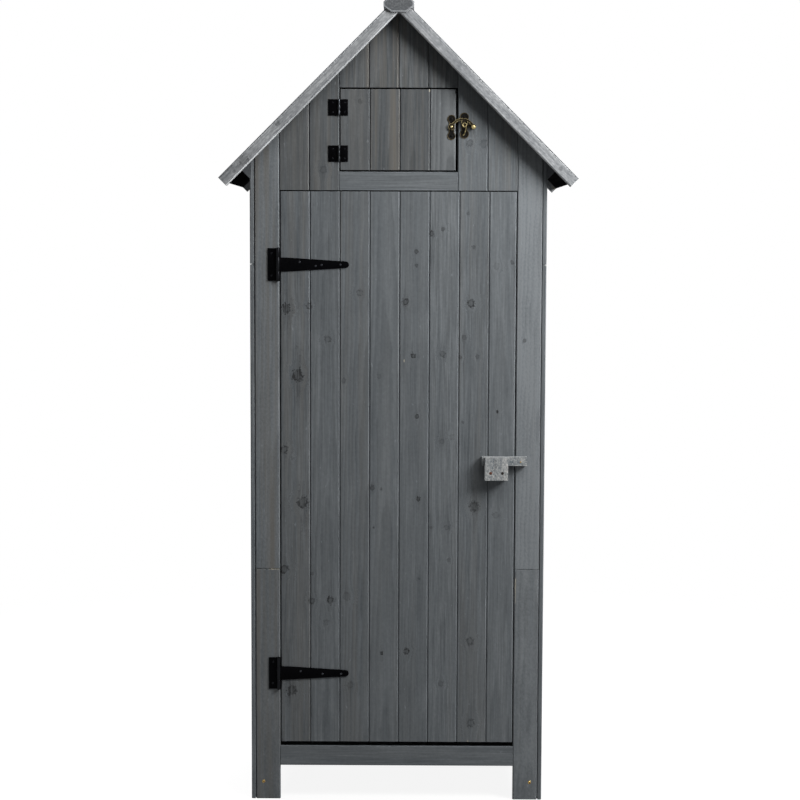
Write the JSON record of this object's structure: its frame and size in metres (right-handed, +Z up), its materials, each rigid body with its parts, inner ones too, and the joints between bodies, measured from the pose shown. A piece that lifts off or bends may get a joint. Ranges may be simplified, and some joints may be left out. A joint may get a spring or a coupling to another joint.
{
  "type": "garden shed",
  "caption": "Narrow boarded garden tool shed on short legs, with a hinged plank door, a sliding wooden latch, a hooked gable hatch and a steep pitched roof.",
  "frame": {"origin": "on the ground, midway across the shed and midway between the two ends of the roof", "axes": "+X to the right as seen from the front, +Y towards the back, +Z up"},
  "size_m": [0.7926, 0.55, 1.8023],
  "materials": {
    "grey_stained_boards": "grey wood stain, matt",
    "pale_grey_trim": "worn grey wood stain, matt",
    "inner_timber": "grey wood stain, matt",
    "roof_felt": "mineral-surfaced roofing felt",
    "black_steel": "black paint, satin",
    "aged_brass": "aged brass plating",
    "plated_steel": "yellow zinc plating"
  },
  "bodies": {
    "shed": {"attic_floor": "inner_timber", "back_battens": "inner_timber", "back_wall_boards": "grey_stained_boards", "back_wall_stiles": "grey_stained_boards", "corner_posts": "inner_timber", "door_stops": "inner_timber", "eave_fillets": "grey_stained_boards", "floor_bearers": "inner_timber", "floor_boards": "inner_timber", "front_bottom_rail": "grey_stained_boards", "front_stile_left_lower": "grey_stained_boards", "front_stile_left_upper": "grey_stained_boards", "front_stile_right_lower": "grey_stained_boards", "front_stile_right_upper": "grey_stained_boards", "gable_batten": "inner_timber", "gable_boards_left": "grey_stained_boards", "gable_boards_right": "grey_stained_boards", "gable_boards_top": "grey_stained_boards", "hatch_hinge_leaves": "black_steel", "hatch_hinge_pins": "plated_steel", "hook_catch": "aged_brass", "latch_stud": "plated_steel", "left_wall_boards": "grey_stained_boards", "left_wall_stiles": "grey_stained_boards", "leg_screws": "plated_steel", "lintel": "grey_stained_boards", "lintel_batten": "inner_timber", "rafters": "inner_timber", "ridge_beam": "pale_grey_trim", "right_wall_boards": "grey_stained_boards", "right_wall_stiles": "grey_stained_boards", "roof_boards_left": "inner_timber", "roof_boards_right": "inner_timber", "roof_felt_left": "roof_felt", "roof_felt_right": "roof_felt", "shelf_1": "inner_timber", "shelf_2": "inner_timber", "shelf_3": "inner_timber", "shelf_cleats": "inner_timber", "tee_hinge_leaf_lower": "black_steel", "tee_hinge_leaf_upper": "black_steel", "tee_hinge_pins": "plated_steel", "verge_board_back_left": "pale_grey_trim", "verge_board_back_right": "pale_grey_trim", "verge_board_front_left": "pale_grey_trim", "verge_board_front_right": "pale_grey_trim", "wall_plates": "inner_timber", "wall_rails": "grey_stained_boards"},
    "door": {"door_boards": "grey_stained_boards", "door_ledges": "inner_timber", "door_braces": "inner_timber", "tee_hinge_strap_lower": "black_steel", "tee_hinge_strap_upper": "black_steel", "latch_block": "pale_grey_trim"},
    "hatch": {"hatch_boards": "grey_stained_boards", "hatch_battens": "inner_timber", "hatch_hinge_flaps": "black_steel", "hook_plate": "aged_brass"},
    "bolt": {"latch_bolt": "pale_grey_trim"},
    "hook": {"hook": "aged_brass"}
  },
  "joints": [
    {"name": "door_hinge", "type": "hinge", "parent": "shed", "child": "door", "pos_m": [-0.2673, -0.2394, 0.7535], "axis": [0, 0, -1], "range_deg": [0, 180]},
    {"name": "hatch_hinge", "type": "hinge", "parent": "shed", "child": "hatch", "pos_m": [-0.1316, -0.2379, 1.51115], "axis": [0, 0, -1], "range_deg": [0, 125]},
    {"name": "bolt_slide", "type": "slide", "parent": "door", "child": "bolt", "axis": [1, 0, 0], "range_m": [0, 0.018]},
    {"name": "hook_pivot", "type": "hinge", "parent": "hatch", "child": "hook", "pos_m": [0.1168, -0.2381, 1.5198], "axis": [0, -1, 0], "range_deg": [0, 100]}
  ]
}
